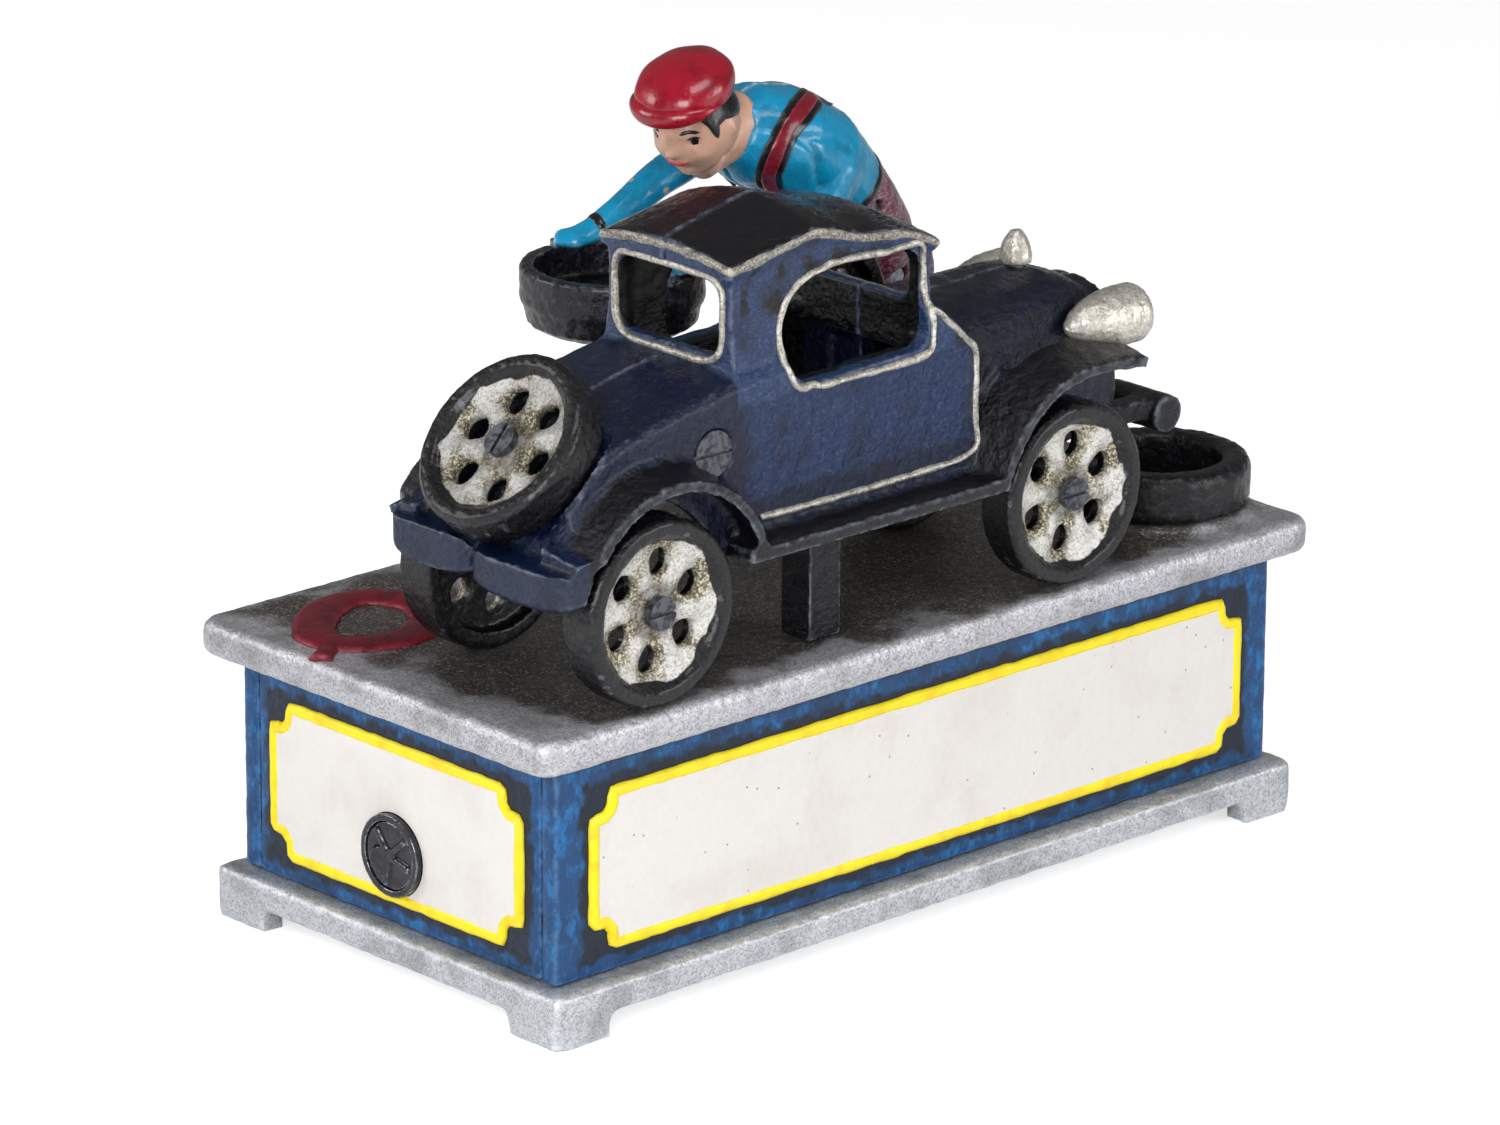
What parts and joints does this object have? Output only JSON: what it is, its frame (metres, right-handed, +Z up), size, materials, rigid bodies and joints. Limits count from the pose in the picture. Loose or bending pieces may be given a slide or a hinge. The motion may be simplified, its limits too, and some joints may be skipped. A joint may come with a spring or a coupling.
{
  "type": "mechanical coin bank",
  "caption": "Cast-iron coin bank: an open car on a plinth and a figure with a tyre tray who bends at the hip when the end lever is pressed and tips a coin into the deck slot.",
  "frame": {"origin": "middle of the bounding box in X and Y, at the plane of the feet", "axes": "+X along the car to its front, +Y away from the car's side of the deck to the figure's side, +Z up"},
  "size_m": [0.2144, 0.1, 0.1589],
  "materials": {
    "deck_silver": "dark silver paint over sand-cast iron",
    "base_silver": "silver paint over sand-cast iron",
    "wall_blue": "dark blue paint with cream plaques and yellow borders",
    "car_navy": "navy and black paint with silver brush lines",
    "tyre_black": "black gloss paint",
    "wheel_silver": "pale gold-silver disc with a black painted tyre",
    "lamp_silver": "silver paint",
    "shirt_blue": "bright blue gloss paint",
    "trouser_maroon": "maroon paint",
    "skin": "skin-coloured paint, red cap",
    "steel": "plain steel",
    "spring_steel": "drawn wire",
    "lock_dark": "dark plated"
  },
  "bodies": {
    "plinth": {"base_plate": "base_silver", "front_panel": "wall_blue", "back_panel": "wall_blue", "left_end_plate": "wall_blue", "right_end_plate": "wall_blue", "deck_plate": "deck_silver", "wall_screws": "steel", "deck_screws": "steel", "lock_body": "lock_dark", "lock_nut": "steel", "deck_tyre": "tyre_black", "deck_tyre_screws": "steel", "car_right_half": "car_navy", "car_left_half": "car_navy", "car_screw": "steel", "post_screw": "steel", "radiator_cap": "lamp_silver", "headlight_right": "lamp_silver", "headlight_left": "lamp_silver", "wheel_screws": "steel", "spare_wheel": "wheel_silver", "spare_screw": "steel", "side_tyre": "tyre_black", "side_tyre_screw": "steel", "trousers_right_half": "trouser_maroon", "trousers_left_half": "trouser_maroon", "trouser_screws": "steel", "hip_pin": "steel", "lever_pin": "steel"},
    "lock_plug": {"lock_barrel": "lock_dark", "lock_cam": "steel", "lock_cam_screw": "steel"},
    "front_right_wheel": {"wheel_front_right": "wheel_silver"},
    "rear_right_wheel": {"wheel_rear_right": "wheel_silver"},
    "front_left_wheel": {"wheel_front_left": "wheel_silver"},
    "rear_left_wheel": {"wheel_rear_left": "wheel_silver"},
    "upper_body": {"torso_right_half": "shirt_blue", "torso_left_half": "shirt_blue", "torso_rivet": "steel", "head": "skin", "coin_tray": "tyre_black", "tray_rivets": "steel", "rod_pin": "steel"},
    "rod": {"push_rod": "steel", "return_spring": "spring_steel"},
    "lever": {"thumb_lever": "base_silver"}
  },
  "joints": [
    {"name": "lock_turn", "type": "hinge", "parent": "plinth", "child": "lock_plug", "pos_m": [-0.09975, 0, 0.025], "axis": [-1, 0, 0], "range_deg": [0, 90]},
    {"name": "figure_bend", "type": "hinge", "parent": "plinth", "child": "upper_body", "pos_m": [0.04225, 0.022, 0.106], "axis": [0, -1, 0], "range_deg": [0, 25], "stiffness_Nm_per_rad": 0.1, "springref_deg": -68.75},
    {"name": "rod_lift", "type": "slide", "parent": "plinth", "child": "rod", "axis": [0, 0, 1], "range_m": [0, 0.00269], "deforming": ["return_spring"]},
    {"name": "lever_press", "type": "hinge", "parent": "plinth", "child": "lever", "pos_m": [0.07025, 0.022, 0.038], "axis": [0, 1, 0], "range_deg": [0, 6.97]},
    {"name": "front_right_spin", "type": "hinge", "parent": "plinth", "child": "front_right_wheel", "pos_m": [0.02955, -0.045, 0.0791], "axis": [0, 1, 0], "continuous": true},
    {"name": "rear_right_spin", "type": "hinge", "parent": "plinth", "child": "rear_right_wheel", "pos_m": [-0.07705, -0.045, 0.0791], "axis": [0, 1, 0], "continuous": true},
    {"name": "front_left_spin", "type": "hinge", "parent": "plinth", "child": "front_left_wheel", "pos_m": [0.02955, 0.001, 0.0791], "axis": [0, 1, 0], "continuous": true},
    {"name": "rear_left_spin", "type": "hinge", "parent": "plinth", "child": "rear_left_wheel", "pos_m": [-0.07705, 0.001, 0.0791], "axis": [0, 1, 0], "continuous": true}
  ],
  "couplings": [
    {"joint": "rod_lift", "follows": "figure_bend", "m_per_rad": 0.0061509},
    {"joint": "lever_press", "follows": "figure_bend", "ratio": 0.27888}
  ]
}
